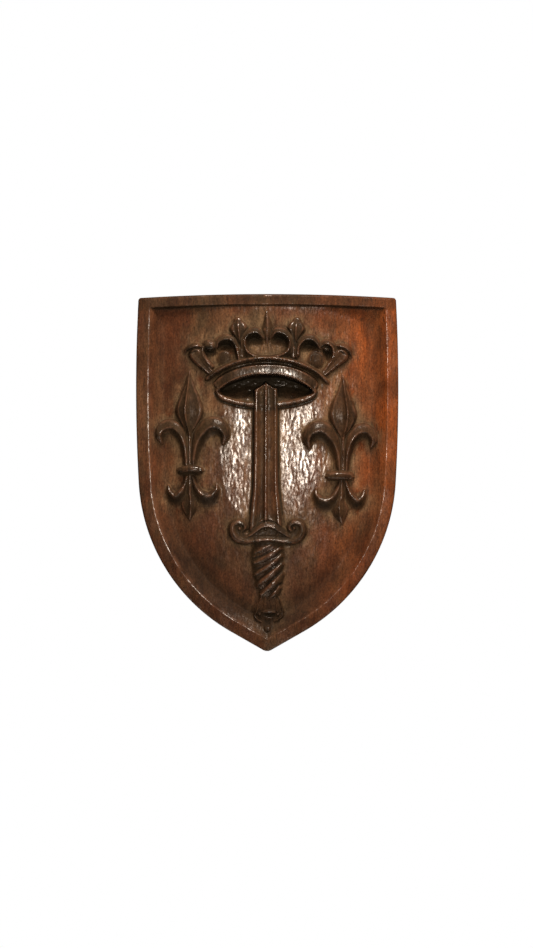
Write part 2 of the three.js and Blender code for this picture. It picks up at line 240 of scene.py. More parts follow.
# a gentle slope up to the crest, and a wide steep bevel beyond it
BEVEL = [(-1, 0.5), (-0.8, 0.68), (-0.4, 0.88), (0, 1), (0.15, 0.86), (0.6, 0.34), (1, 0.04)]

# a thin rolled edge: a hollow on one side of its arris, and on the other a soft slope outwards
OUTWARD = [(-1.4, 0.6), (-0.7, 0.9), (0, 1), (0.8, 0.88), (1.6, 0.72), (3.4, 0.62), (5.2, 0.46)]

# the ground inside the fleuron and the loops, scooped out first
for hole in ((-15, 54, 11, 11, 7), (15.4, 54, 11, 11, 7), (-46.5, 60.5, 12, 10, 8),
             (49, 61.5, 12, 10, 8), (68.4, 70, 6, 12, 7), (-66, 67, 8, 8, 7)):
    scoop(*hole)
# the short leaf in the middle, and the stems of the buds
carve([(-0.6, 18.6, 0.5, 2.5), (-0.2, 26, 2.8, 5), (0.2, 32, 4.6, 6.4), (0.3, 38, 7, 7.4),
       (0.3, 44, 9, 6.6)],
      [(-1, 0.1), (-0.7, 0.5), (-0.3, 0.84), (0, 1), (0.3, 0.84), (0.7, 0.5), (1, 0.1)])
carve([(-30.6, 50, 4, 7.4), (-29.6, 58, 3.6, 7), (-29, 72, 3.4, 6)], ROUND)
carve([(31, 50, 4, 7.4), (30.6, 58, 3.6, 7), (29.6, 72, 3.4, 6)], ROUND)
# the middle fleuron: one edge that runs round both its lobes, and a rib down its bowl
arris([(-5.5, 50, 0.6, 7), (-8.6, 46.8, 0.8, 9), (-12.3, 44.6, 1, 10), (-17.6, 44.8, 1, 10.4),
       (-22.6, 47.8, 1, 10.4), (-25.4, 53.3, 1, 10.2), (-25.2, 61, 1, 10), (-21.8, 67, 0.9, 9.4),
       (-15.1, 71, 0.8, 9), (-5, 72.6, 0.7, 8.6)], flipped(OUTWARD))
arris([(5.2, 50, 0.6, 7), (7.6, 46.8, 0.8, 9), (10.6, 44.6, 1, 10), (16, 44.8, 1, 10.4),
       (21.8, 48.2, 1, 10.4), (25.3, 53.7, 1, 10.2), (25.2, 61.6, 1, 10), (21.6, 67.2, 0.9, 9.4),
       (14.5, 70.8, 0.8, 9), (4, 72.6, 0.7, 8.6)], OUTWARD)
carve([(-0.2, 42, 5.6, 7.4), (-0.2, 48, 4, 6), (-0.2, 53, 2.4, 3.2), (-0.2, 58, 1.6, 0.6)], ROUND)
for foot in (-9, -4.4, 0.4, 5, 9.4):
    incise([(foot * 0.5, 56.6, 0.6, 0.4), (foot * 0.85, 62, 0.9, 0.9), (foot, 67.6, 0.7, 0.4)], 0.3)
incise([(-22, 38.6, 1.2, 1.6), (-27.4, 44, 1.6, 3), (-30.4, 51, 1.5, 3), (-31, 60, 1.2, 2)], 0.8)
incise([(22.4, 38.6, 1.2, 1.6), (27.6, 44, 1.6, 3), (30.6, 51, 1.5, 3), (31.2, 60, 1.2, 2)], 0.8)
# side loops
arris([(-57.2, 61, 0.7, 7.6), (-55.4, 55.4, 0.9, 8.6), (-48.6, 52.4, 1, 9.4), (-41.2, 53.2, 1, 9.6),
       (-36, 59.7, 1, 9.4), (-33.6, 67.8, 0.9, 9), (-32.4, 75, 0.7, 8)], OUTWARD)
arris([(35, 70, 0.7, 8), (35.8, 61.6, 0.9, 9), (39.8, 55.3, 1, 9.4), (44.8, 52.4, 1, 9.6),
       (51, 52.7, 1, 9.4), (56.2, 56.8, 0.8, 8.6), (59.6, 62, 0.6, 7)], OUTWARD)
incise([(-39.6, 46, 1, 1.2), (-34.4, 52, 1.3, 2), (-30.4, 62, 1.2, 1.6)], 0.7)
incise([(38.4, 47, 1, 1.2), (34.4, 53, 1.3, 2), (32.4, 62, 1.2, 1.6)], 0.7)
# the buds stand clear between the loops
BUD = [(-1, 0.4), (-0.8, 0.72), (-0.5, 0.7), (-0.2, 0.8), (-0.06, 1), (0.08, 0.84), (0.45, 0.78),
       (0.8, 0.7), (1, 0.35)]
for at, lean in ((-32.4, 0.5), (33.2, -0.4)):
    carve([(at - 2 * lean, 31.4, 4.4, 6), (at - lean, 35.4, 8.2, 9), (at, 40.4, 9.6, 10.8),
           (at + lean, 46, 7, 9.8), (at + 2.5 * lean, 53, 3.2, 8)], BUD, wall=3.4)
# the small curls outside them
carve([(-67.4, 58.6, 6.4, 8.6), (-64.6, 59.4, 6.6, 8.6)], ROUND, wall=2.6)
carve([(-73.4, 61, 2.4, 7), (-74, 67.6, 2.8, 7.4), (-71, 74.4, 3.2, 7.6), (-67, 79.4, 3.4, 7.4),
       (-63.4, 83, 3.2, 6)], ROUND)
incise([(-68.6, 65.6, 1.8, 2), (-63.8, 66.4, 2.2, 2.6), (-59.4, 63.4, 1.8, 2)], 0.75)
arris([(61.6, 60.6, 0.6, 6.6), (66.6, 57, 0.8, 8.4), (73, 59.6, 0.9, 9.2), (75.8, 67.4, 0.9, 9),
       (74, 75.8, 0.8, 8.6), (68.4, 83.2, 0.7, 7.6)], OUTWARD)
carve([(66.6, 63.4, 3, 7.2), (68.6, 64, 3, 7.2)], ROUND, wall=2.8)
# end leaves, each with a thin lip turned out at its head
LEAF = [(-1, 0.45), (-0.72, 0.84), (-0.35, 0.82), (0, 0.74), (0.35, 0.82), (0.72, 0.88), (1, 0.45)]
carve([(-62, 92, 3, 5.4), (-70, 84, 4.8, 7.4), (-77, 75.4, 6.8, 8), (-81.4, 69.6, 7.6, 8)], LEAF, wall=3)
carve([(-95, 67.6, 0.5, 3.4), (-90.6, 62.6, 2.4, 7.2), (-84.6, 60, 3.2, 8.6), (-79, 59.6, 2.6, 8.2),
       (-75, 61, 0.7, 4.4)], RIDGE)
carve([(64, 92, 3, 5.4), (72, 84, 5, 7.4), (79.6, 76, 7, 8.2), (84.4, 70.8, 8, 8.4)], LEAF, wall=3)
carve([(78, 58.6, 0.7, 4.4), (82.6, 60, 2.6, 8.2), (88.6, 61.4, 3.4, 8.8), (93.4, 65, 2.6, 7.6),
       (96.8, 71.6, 0.6, 4)], RIDGE)
incise([(-88, 68, 1.2, 1), (-84, 66.8, 2, 1.8), (-80, 65, 1.2, 1)], 0.6)
incise([(90.4, 69.4, 1.2, 1), (86.4, 68, 2, 1.8), (82.4, 65.6, 1.2, 1)], 0.6)
# bosses in the loops
carve([(-48.8, 73.6, 8.6, 3), (-48.8, 74, 8.6, 3)], ROUND, wall=1.2)
carve([(56.4, 74, 10, 4), (56.4, 74.6, 10, 4)], ROUND, wall=1.2)
incise([(50, 77, 0.9, 0.8), (51, 71, 0.9, 0.8), (57, 68.6, 0.9, 0.8), (62.6, 72.6, 0.9, 0.8),
        (62, 79, 0.9, 0.8)], 0.5)
# the circlet: bead, band and lip, and the bead along the lower edge of the opening
CIRCLET_BEAD = [(-67.6, 97.8, 3.2, 6, 0.3), (-58.4, 91, 3.6, 9, 0.4), (-47, 85, 3.7, 10.5, 0.45),
                (-31.1, 79.2, 3.7, 12, 0.45), (-12.8, 76, 3.7, 13, 0.45), (0.9, 75.4, 3.7, 13, 0.45),
                (14.6, 76.4, 3.7, 13, 0.45), (30.6, 79.8, 3.7, 12, 0.45), (45.4, 85.4, 3.7, 10.5, 0.45),
                (58, 92.4, 3.6, 9, 0.4), (67.4, 101, 3.2, 6, 0.3)]
BEAD_UNDERSIDE = [(-61, 99.6, 1.4, 2), (-46.5, 89.8, 1.9, 3), (-24.5, 81.8, 2.1, 3.6),
                  (-2, 79.6, 2.1, 3.8), (20, 81.2, 2.1, 3.6), (42, 88, 1.9, 3), (58, 98.6, 1.4, 2)]
CIRCLET_BAND = [(-56.8, 103.4, 3.6, 5), (-51.6, 99.1, 5, 6.5), (-40.2, 92.6, 5.7, 8),
                (-21.9, 87.6, 6.1, 9.5), (-0.2, 86, 6.3, 10), (21.5, 87.8, 6.1, 9.5), (39.7, 94, 5.7, 8),
                (50, 100.2, 5, 6.5), (54, 104, 3.6, 5)]
CIRCLET_LIP = [(-57.9, 111.6, 1.3, 6), (-51.6, 106.5, 1.4, 8), (-41.3, 100.1, 1.5, 9.5),
               (-25.3, 94.2, 1.6, 11), (-12.8, 92.1, 1.6, 11.5), (-0.2, 91.7, 1.6, 11.5),
               (12.3, 92, 1.6, 11.5), (28.3, 96, 1.5, 10.5), (42, 102.5, 1.4, 9), (50, 108.2, 1.4, 8),
               (54.6, 113.4, 1.3, 6)]
LOWER_BEAD = [(-56.6, 106.8, 1.8, 4.6), (-57.2, 112.4, 2.4, 4.8), (-51.6, 118.8, 2.6, 4.6),
              (-41.3, 122.4, 2.6, 4.6), (-27.6, 125.4, 2.6, 4.8), (0, 127.6, 2.6, 4.8),
              (23.7, 124.8, 2.6, 4.8), (34, 122.8, 2.6, 4.6), (45.4, 119.6, 2.6, 4.6),
              (53.4, 114.6, 2.4, 4.8), (54.2, 108.4, 1.8, 4.6)]
UNDER_LOWER_BEAD = [(-60, 113, 1.2, 0.8), (-57, 119.4, 1.4, 1), (-49, 124.2, 1.6, 1.2),
                    (-27.6, 129.8, 1.7, 1.4), (0, 132, 1.7, 1.4), (24, 129.4, 1.7, 1.4),
                    (46, 124.2, 1.6, 1.2), (55.4, 118.6, 1.4, 1), (57.4, 113, 1.2, 0.8)]
BAND_SECTION = [(-1, 0.87), (-0.5, 0.88), (0, 0.87), (0.6, 0.83), (1, 0.66)]
carve(CIRCLET_BEAD, flipped(BEVEL), wall=3.2)
carve(CIRCLET_BAND, BAND_SECTION)
incise(BEAD_UNDERSIDE, 0.35)
carve(CIRCLET_LIP, ROUND, wall=3.2)


# The opening under the lip is cut deep below the band and runs up to the lower bead.
def opening_share(x, down):
    lip = np.interp(x, *run_through(CIRCLET_LIP)[:, :2].T)
    bead_route = run_through(LOWER_BEAD)[6:-6]
    bead = np.interp(x, *bead_route[:, :2].T)
    inside = (x > CIRCLET_LIP[0][0]) & (x < CIRCLET_LIP[-1][0])
    share = (down - lip - 1) / np.maximum(bead - lip - 1.5, 0.5)
    return np.where(inside & (share > 0) & (share < 1), share, np.nan), np.maximum(bead - lip, 0)


share, gap = opening_share(X, DOWN)
OPENING_FLOOR = [(0, -15), (0.08, -20), (0.35, -18), (0.55, -12.5), (0.75, -6), (0.9, -2), (1, 1)]
floor_level = np.interp(share, *zip(*OPENING_FLOOR)) * np.clip(gap / 24, 0.15, 1) ** 0.6
in_opening = ~np.isnan(share)
relief = np.where(in_opening, floor_level, relief)
carve(LOWER_BEAD, ROUND, wall=3.2)
incise(UNDER_LOWER_BEAD)

# ---- The sword ---------------------------------------------------------------------------------
# A short sword stands in the crown, point up, carved in one with the board: a fluted blade with a
# sharp ridge, an arched guard that ends in scrolls, a grip bound with cord, and a pommel like a bell
# flower with a small drop.
BLADE = [(-1, 0.72), (-0.92, 0.86), (-0.76, 0.82), (-0.58, 0.54), (-0.34, 0.42), (-0.17, 0.5),
         (-0.1, 0.86), (-0.05, 0.97), (-0.01, 1.0), (0.03, 0.97), (0.08, 0.86), (0.15, 0.52), (0.4, 0.54),
         (0.64, 0.64), (0.8, 0.86), (0.88, 0.84), (1, 0.55)]
beyond_lip = np.where(DOWN < 127, 14.0, 3.4)        # sheer sides in the opening
carve([(-1.4, 102.6, 1.2, 5), (-1.4, 106, 6, 7), (-1.4, 109.4, 11.4, 8), (-1.4, 113, 12.6, 8.5),
       (-1.5, 167, 13, 8.5), (-1.6, 218.4, 13.6, 8.5), (-1.6, 241.2, 15.6, 8.5),
       (-1.6, 268, 18.2, 8.5)], BLADE, wall=beyond_lip)
incise([(-16.2, 133, 1.4, 1.4), (-16.6, 190, 1.4, 1.6), (-17.4, 222, 1.3, 1.4), (-20.6, 252, 1.2, 1)])
incise([(12.8, 133, 1.2, 1.2), (13, 190, 1.2, 1.4), (14, 222, 1.1, 1.2), (17.6, 252, 1.1, 1)])

# the guard: a bar that rolls up into a scroll at each end, and an ogee arch over a sunk panel
SCROLL = [(-1, 0.3), (-0.75, 0.62), (-0.3, 0.92), (0.1, 1), (0.6, 0.84), (1, 0.4)]
carve([(-30, 278, 5.2, 7), (-17, 277.6, 6.2, 7), (0, 276.6, 7.4, 7), (17, 277.6, 6.2, 7),
       (30, 278.6, 5.2, 7)],
      [(-1, 0.7), (-0.7, 0.92), (-0.4, 1), (0.2, 0.95), (0.7, 0.9), (1, 0.6)], wall=3.4)
carve([(0, 268, 12, 7), (0, 273, 15, 7)], [(-1, 0.8), (0, 0.88), (1, 0.8)])
for at in (-31.6, 31):
    carve([(at, 268, 6.2, 6), (at, 269, 6.2, 6)], [(-1, 1), (0, 1), (1, 1)])
carve([(-29, 279, 2.4, 7, -0.4), (-21, 275.6, 3.2, 8.2, -0.45), (-14.4, 270.6, 3.9, 9.4, -0.5),
       (-7.4, 265.6, 4.1, 10.4, -0.5), (-0.4, 263.8, 4.1, 10.8, -0.5), (7.4, 265.4, 4.1, 10.4, -0.5),
       (15.6, 270.6, 3.9, 9.4, -0.5), (23.6, 275.8, 3.2, 8.2, -0.45),
       (31, 279.4, 2.4, 7, -0.4)], flipped(BEVEL), wall=3.4)
carve([(-29, 282.6, 2.6, 8), (-20, 282.4, 2.8, 9.2), (0, 280.6, 3, 10), (20, 282.6, 2.8, 9.2),
       (29.6, 283, 2.6, 8)], ROUND, wall=3.6)
carve([(-17, 280.6, 2.8, 7.4), (-26, 281.4, 4.6, 8.6), (-34.4, 278.4, 5.3, 9.6), (-39, 271, 5, 10),
       (-38, 263.8, 4.6, 10), (-32.6, 261.4, 4, 9.8), (-27.6, 263, 3.2, 9.2), (-25.6, 267, 2.6, 8.6),
       (-27.6, 270.4, 2, 8)], SCROLL, wall=3)
carve([(17, 280.8, 2.8, 7.4), (26, 281.8, 4.6, 8.6), (34.4, 278.8, 5.3, 9.6), (39.4, 271.4, 5, 10),
       (38.4, 264, 4.6, 10), (32.8, 261.4, 4, 9.8), (27.6, 263, 3.2, 9.2), (25.4, 267, 2.6, 8.6),
       (27.2, 270.4, 2, 8)], flipped(SCROLL), wall=3)
for at in (-31.4, 30.6):
    carve([(at, 267.6, 2.4, 9), (at, 268.2, 2.4, 9)], ROUND, wall=2.8)
incise([(-21, 272.6, 0.9, 0.6), (-14.8, 266.8, 1.2, 1.2), (-8, 261.8, 1.3, 1.6), (-0.6, 259.4, 1.3, 1.8),
        (8, 261.2, 1.3, 1.6), (16, 266.8, 1.2, 1.2), (24, 272.4, 0.9, 0.6)], 0.5)
incise([(-22, 277.6, 0.8, 0.8), (0, 276.4, 0.9, 1), (22, 277.8, 0.8, 0.8)], 0.3)
incise([(-26, 287, 1.4, 0.8), (-16, 286.6, 1.8, 1.4), (0, 285.4, 2, 1.8), (16, 286.6, 1.8, 1.4),
        (26, 287.4, 1.4, 0.8)], 0.45)

# the grip and its cord, wound up to the right
CORD = [(-1, 0.5), (-0.75, 0.62), (-0.35, 0.84), (0.1, 1), (0.5, 0.95), (0.82, 0.74), (1, 0.5)]
carve([(0, 287, 15.6, 7.6), (0, 300, 18.2, 7.8), (0.8, 322, 15.4, 7.2), (2, 338, 11.2, 6.4),
       (3, 348, 8, 5.4)],
      [(-1, 0.2), (-0.8, 0.6), (-0.45, 0.92), (0, 1), (0.45, 0.92), (0.8, 0.6), (1, 0.2)], wall=1.2)
for strand in ([(-12.6, 295.6, 3, 6.4), (-6, 292.4, 4.4, 9.4), (3, 288, 4.2, 8.6)],
               [(-13.4, 307.4, 3, 6.6), (-7.6, 305.4, 4.8, 9.8), (1, 301, 5.4, 11.6),
                (9, 295.4, 4.8, 9.8), (14.4, 290.8, 3, 6.8)],
               [(-12.2, 320.4, 3, 6.6), (-6, 316.8, 4.8, 9.8), (1, 311.8, 5.4, 11.8), (9, 305, 5, 10.4),
                (15.2, 299, 3, 6.6)],
               [(-9.8, 332.6, 3, 6.4), (-5, 328.8, 4.6, 9.4), (2, 322.8, 5.4, 11.8),
                (9.6, 315.6, 5, 10.2), (15.6, 309, 3, 6.4)],
               [(-5.8, 343.6, 2.8, 6), (0, 338.8, 4.5, 9), (6.6, 332, 5.1, 11), (12, 326.2, 4.4, 9),
                (15.8, 320.6, 3, 6)],
               [(3.6, 348.4, 2.8, 6), (8.4, 342.6, 4, 8), (13, 335.6, 3, 6.4)]):
    carve(strand, CORD, wall=1.6)
for groove in ([(-15.6, 302.2, 1), (-7.7, 299.8, 1.4), (1, 295.6, 1.4), (9, 291, 1)],
               [(-13.4, 314.6, 1), (-5, 311.6, 1.5), (4, 305.6, 1.6), (14.6, 297, 1)],
               [(-12, 327, 1), (-3, 321.4, 1.6), (6, 314.2, 1.7), (17.4, 305.6, 1)],
               [(-8.6, 338.6, 1), (-1, 332.4, 1.6), (7, 325.4, 1.7), (17, 317, 1)],
               [(-1, 347.4, 1), (6, 340.4, 1.5), (15.6, 330, 1)]):
    incise([(x, down, half, 1.1 * half) for x, down, half in groove], 0.7)

# the pommel: a ribbed bell, its lip with a dark mouth under it, and a small drop
carve([(3, 346, 8.6, 5), (2.6, 353, 12.6, 5.4), (1.4, 361, 18, 5), (0.6, 367, 15.6, 4),
       (0, 374, 8.6, 2.6)], ROUND, wall=0.7)
for top, foot, tall in ((-7, -12.4, 5.4), (13.6, 18, 5.2), (-2, -4.4, 6.2), (9, 11.4, 6.2)):
    carve([(top, 347, 0.8, tall), ((top + foot) / 2, 355, 0.9, tall), (foot, 363.4, 1, tall)], ROUND,
          wall=0.9)
carve([(-12, 363.6, 1.4, 4.6), (-14, 368, 1.5, 4.4), (-11, 372.4, 1.4, 4), (-6, 375, 1.2, 3.2)], ROUND,
      wall=0.9)
carve([(16.6, 363.6, 1.4, 4.6), (17, 367.6, 1.5, 4.4), (13.4, 371.6, 1.4, 4), (8, 374.4, 1.2, 3.2)],
      ROUND, wall=0.9)
carve([(-5, 364, 1.8, 7), (1.4, 363.6, 2.3, 8.6), (8.4, 364, 1.8, 7)], ROUND, wall=2)
incise([(-3, 367, 1.4, 1.6), (3, 367.8, 2.2, 3.4), (8.4, 367.4, 1.4, 1.6)], 0.85)
carve([(-9, 366.4, 1.8, 6), (-8.8, 367, 1.8, 6)], ROUND, wall=1.8)
carve([(12.4, 366.6, 1.8, 6), (12.2, 367.2, 1.8, 6)], ROUND, wall=1.8)
carve([(0.2, 382, 3.8, 5), (0.2, 382.4, 3.8, 5)], ROUND, wall=1.4)

# ---- The two lilies ----------------------------------------------------------------------------
# A fleur-de-lis on each side of the sword, cut by hand and so not quite alike: a ridged middle petal,
# two petals that curl over with a wide bevel under their crest, a collar, two lower curls and a leaf.
COLLAR = [(-1, 0.1), (-0.7, 0.5), (-0.25, 0.92), (0, 1), (0.5, 0.93), (0.85, 0.8), (1, 0.55)]


def lily(at_x, at_down, inner, lean):
    # inner is 1 where the sword is on the flower's right, and -1 where it is on its left; lean is how far
    # its lower half leans to the sword
    def cut(marks, section, wall=WALL):
        placed = [(at_x + inner * x, at_down + down, half, rise, *(inner * c for c in crest))
                  for x, down, half, rise, *crest in marks]
        carve(placed, section if inner > 0 else flipped(section), wall=wall)

    # stem and its fine ridges
    cut([(0, 68, 5, 4), (0, 116, 7.2, 5.5)], RIDGE)
    cut([(0, 72, 1.4, 7), (0, 112, 1.8, 7.5)], RIDGE)
    # side petals: route, then a crest near the inner line
    cut([(5, 113, 3, 6.5, 0.3), (6, 100, 4.4, 8, 0.3), (9, 86, 6.5, 9.6, 0.25),
         (14.5, 73.5, 8.8, 11, 0.1), (23.5, 64.5, 10.4, 12, 0), (33, 65.5, 9.4, 11.4, 0),
         (38.6, 73.5, 6.8, 9.4, 0.1), (38, 82.5, 2, 4.5, 0)], flipped(BEVEL))
    cut([(-4.8, 113, 2.8, 6.5, -0.3), (-5.6, 98, 3.8, 7.6, -0.3), (-8, 84, 5.4, 9, -0.25),
         (-13, 72, 7.4, 10.2, -0.1), (-21, 65, 8.6, 10.8, 0), (-29, 66.5, 7.8, 10.2, 0),
         (-33.4, 74, 5.4, 8.4, -0.1), (-32, 82.5, 1.6, 4, 0)], BEVEL)
    # middle petal, hollowed on both sides of a sharp ridge
    cut([(0, 0, 0.6, 2.5), (-0.3, 8, 3.2, 5), (0, 18, 6.4, 8.6, -0.15), (0.6, 32, 12.6, 11.4, -0.2),
         (0.6, 45, 16.4, 12.8, -0.2), (0.4, 58, 11.6, 11, -0.2), (0.2, 70, 3.6, 7.6, -0.15),
         (0, 76, 1.4, 5)],
        [(-1, 0.25), (-0.86, 0.58), (-0.6, 0.6), (-0.32, 0.74), (-0.2, 1), (-0.08, 0.78), (0.15, 0.58),
         (0.5, 0.5), (0.76, 0.5), (0.86, 0.36), (1, 0.02)])
    # collar, a short block with a dark underside
    cut([(-9.8 + lean / 2, 114.6, 4.8, 7.4, 0.2), (-5, 114, 5.4, 9.4, 0.2), (lean, 113.6, 5.7, 10.8, 0.2),
         (7 + lean, 113.8, 5.4, 9.8, 0.2), (10.6 + lean * 1.3, 114.4, 4.8, 8, 0.2)],
        COLLAR if inner > 0 else flipped(COLLAR), wall=4)
    # lower stems and curls
    cut([(0.4 * lean, 119, 5.4, 6), (0.5 * lean, 132, 5.2, 6), (0.6 * lean, 150, 3, 5)], RIDGE)
    cut([(3, 121, 2, 7, 0), (4.5, 131, 4, 8.4, 0.4), (9.5, 142, 7.2, 9.6, 0.5),
         (17.5, 147.4, 9, 10.6, 0.5), (26, 145.2, 7.8, 9.6, 0.45), (31.4, 137, 4.4, 7.6, 0.3),
         (31, 130.6, 1.4, 3.6, 0)], flipped(BEVEL))
    cut([(-3, 121, 2, 7, 0), (-4.2, 130, 3.4, 8, -0.4), (-7.4, 139, 6, 9, -0.5),
         (-13, 145.4, 8, 9.8, -0.45), (-19.6, 145.4, 7.6, 9.4, -0.4), (-24, 139.4, 5.2, 7.8, -0.35),
         (-25, 131.4, 1.4, 4, 0)], BEVEL)
    # pendant leaf
    cut([(0.8 * lean, 140, 3, 6), (lean, 147, 8, 7.4), (lean, 153, 10, 8), (0.8 * lean, 160, 7.4, 7),
         (0.4 * lean, 167, 3, 4.5), (0.3 * lean, 170.5, 0.6, 2.5)],
        [(-1, 0.1), (-0.9, 0.5), (-0.5, 0.62), (0, 0.78), (0.12, 1), (0.24, 0.76), (0.6, 0.55), (1, 0.1)])


lily(-88.5, 88.0, 1, 0.0)
lily(86.5, 93.0, -1, 3.2)

# ---- The carved surface ------------------------------------------------------------------------
# The charges stand on the ground with a little dirt and painted shade in the angle. The tools left long
# shallow facets down the field, and a century of handling has softened every edge.


def smoothed(field, axis, reach):
    # Gaussian blur by reach millimetres along one axis
    freq = np.fft.rfftfreq(field.shape[axis], NET)
    gain = np.exp(-2 * (math.pi * reach * freq) ** 2)
    if axis == 0:
        gain = gain[:, None]
    return np.fft.irfft(np.fft.rfft(field, axis=axis) * gain, field.shape[axis], axis=axis)


def blurred(field, reach):
    pad = int(3 * reach / NET) + 1
    wide = np.pad(field, pad, mode="edge")
    return smoothed(smoothed(wide, 0, reach), 1, reach)[pad:-pad, pad:-pad]


dice = np.random.default_rng(7)


def mottle(size_x, size_down):
    # smooth random field of about unit strength, with blotches of that size in millimetres
    out = smoothed(smoothed(dice.standard_normal(X.shape), 0, size_down), 1, size_x)
    return out / out.std()


SOFTENED = 0.45                                     # how far every edge is worn round
HACKED = 0.42                                       # roughness of the opening
DUST_REACH = 8.5                                    # how far dust lies round a charge
RIM_ARRIS = 14.2                                    # inside edge of the rim, in from the side
RIM_FACE = 17                                       # and where its face and that edge are done with
from_side, from_top = inset_from_side(X, DOWN), inset_from_top(X, DOWN)
from_edge = np.minimum(from_side, from_top)
side_inset = from_side + RIM_SKEW * X / HALF_WIDTH
charge = ramp(relief, 0, 2)
height = blurred(ground + relief, SOFTENED)
height += ramp(from_edge, 0, 3) * (0.03 * mottle(3.5, 12) + 0.045 * mottle(1.8, 4.5)
                                   + 0.06 * mottle(0.8, 1.6) + 0.2 * mottle(12, 30))
# the opening was only hacked out, and never smoothed
height += np.where(in_opening & (relief < 4), HACKED, 0) * mottle(1.6, 1.1)

# dirt and painted shade in hollows, dust round the charges, soot and painted shade in the opening
hollow = ramp(blurred(height, 3.5) - height, 0, 2.2) * np.interp(from_top, (15, 34), (0.35, 1))
near_charge = blurred(np.where(relief > 1, 1.0, 0.0), DUST_REACH)
dust = np.clip(1.7 * near_charge * (1 - charge) + 0.3 * hollow, 0, 1)
dust *= np.interp(DOWN, (280, 300), (1, 0.4))
opening_soot_and_shade = np.interp(np.nan_to_num(share), (0, 0.5, 0.8, 1), (1, 0.9, 0.6, 0.1))
soot_and_shade = blurred(np.where(in_opening & (relief < 0), opening_soot_and_shade, soot_and_shade), 0.6)
# faces that look down are painted darker: painted shade under the charges and their arrises
looks_down = -np.gradient(blurred(height, 0.7), NET, axis=0)
underside_shade = ramp(looks_down, 0.3, 0.9) * (from_edge > 12)

# the parts that hands reach, and those that they don't
on_blade = ramp(np.abs(X + 1.5), 16, 14) * ramp(DOWN, 128, 134) * ramp(DOWN, 256, 250)
on_band = ramp(np.abs(X), 46, 30) * (np.abs(DOWN - 84 - 0.0075 * X ** 2) < 10)
on_grip = ramp(np.abs(X - 1), 13, 7) * ramp(DOWN, 286, 292) * ramp(DOWN, 350, 344)
on_pommel = ramp(DOWN, 345, 350) * ramp(np.abs(X), 27, 23)
handled = blurred(np.maximum(on_band, 0.75 * on_grip) * charge, 0.6)
grime = blurred(charge * (1 - 0.6 * on_blade - 0.65 * on_grip), 0.8)
grime = np.maximum(grime, 0.6 * ramp(from_top, 16, 13))
grime *= 1 - 0.45 * on_pommel

# the arrises, rubbed pale with a painted highlight: least along the top, most along the inside of the rim
crest = ramp(height - blurred(height, 1.1), 0.114, 0.414)
crest = np.where(from_top < 18, crest * np.clip(1 - np.abs(X + 5) / 24, 0.04, 1), crest)
# the pale line along the inside of the rim is wear and a painted highlight
rim_rub_and_highlight = np.exp(-((side_inset - RIM_ARRIS) / 2.3) ** 2)
rim_rub_and_highlight *= np.clip(0.45 + 0.5 * mottle(8, 20) - X / 260, 0, 1)
rim_rub_and_highlight = np.maximum(rim_rub_and_highlight, 0.7 * (side_inset < 13) * np.clip(mottle(1.5, 6) - 1.1, 0, 1))
crest = np.maximum(crest, rim_rub_and_highlight * (from_top > 14))
# places rubbed through the stain, the one low on the right rim a painted glint too: x, down, reach,
# amount
for x, down, reach, amount in ((-114.8, 160.5, 5, 0.9), (-60, 159.6, 5.5, 0.9), (101, 316, 15, 0.55),
                               (-88.6, 118, 4, 0.6)):
    spot = np.exp(-((X - x) ** 2 + (DOWN - down) ** 2) / reach ** 2)
    crest = np.maximum(crest, amount * spot * np.clip(0.7 + 0.4 * mottle(1.2, 2.4), 0, 1))
crest *= 1 - 0.6 * on_blade * np.interp(DOWN, (190, 235), (1, 0))
# a pale painted highlight down the ridge of the blade
blade_ridge_highlight = on_blade * np.exp(-((X + 1.7) / 1.1) ** 2) * np.clip(0.85 + 0.3 * mottle(1, 9), 0, 1)
crest = np.maximum(crest, blade_ridge_highlight) * (1 - 0.7 * on_pommel)

# the wax is polished up where hands reach it, down the middle of the dome
from_middle = ((X - 2) / 86) ** 2 + ((DOWN - 180 + 0.2 * X) / np.interp(X, (-20, 20), (84, 58))) ** 2
polish = np.clip(1.3 * np.exp(-1.15 * from_middle ** 1.3), 0.24, 1)
polish *= np.interp(side_inset, (20, 24, 40, 58), (1, 0.02, 0.02, 1))
polish *= np.interp(from_top, (16, 18, 36, 70), (0.05, 0.1, 0.1, 1))
polish = np.where(np.minimum(side_inset, from_top) < 16, 0.5, polish)
polish = np.where(from_top < RIM_FACE, 0.12, polish)
polish = np.maximum(polish * (1 - 0.95 * on_blade), np.maximum(handled, 0.8 * in_opening))
rim_streaks = np.where(from_edge < RIM_FACE, np.clip(0.55 + 0.5 * mottle(3, 9), 0.1, 1), 1)
polish = np.maximum(np.maximum(polish, 0.85 * crest) * rim_streaks, 1.8 * blade_ridge_highlight)
cove = np.interp(side_inset, (12, 15, 36, 52), (0, 1, 1, 0)) * ramp(from_top, 13, 15)


def sampled(field, x, down):
    gx = np.clip((x - net_x[0]) / NET, 0, len(net_x) - 1.001)
    gd = np.clip((down - net_down[0]) / NET, 0, len(net_down) - 1.001)
    ix, idn = gx.astype(int), gd.astype(int)
    fx, fd = gx - ix, gd - idn
    return ((field[idn, ix] * (1 - fx) + field[idn, ix + 1] * fx) * (1 - fd)
            + (field[idn + 1, ix] * (1 - fx) + field[idn + 1, ix + 1] * fx) * fd)


# The front is a mesh that runs out to the outline; the edge and the back close it.
ROWS, COLS = 740, 541
CLOSEST_TO_TIP = 0.9996
along, across = np.meshgrid(np.linspace(0, CLOSEST_TO_TIP, ROWS), np.linspace(-1, 1, COLS), indexing="ij")


def outline_half_width(down):
    tip_centre = LENGTH - TIP_ROUND
    tip = np.sqrt(np.maximum(TIP_ROUND ** 2 - np.maximum(down - tip_centre, 0) ** 2, 0))
    in_tip = down > tip_centre + TIP_ROUND * math.sin(LOWER_TURN)
    return np.where(in_tip, tip, half_width_at(down))


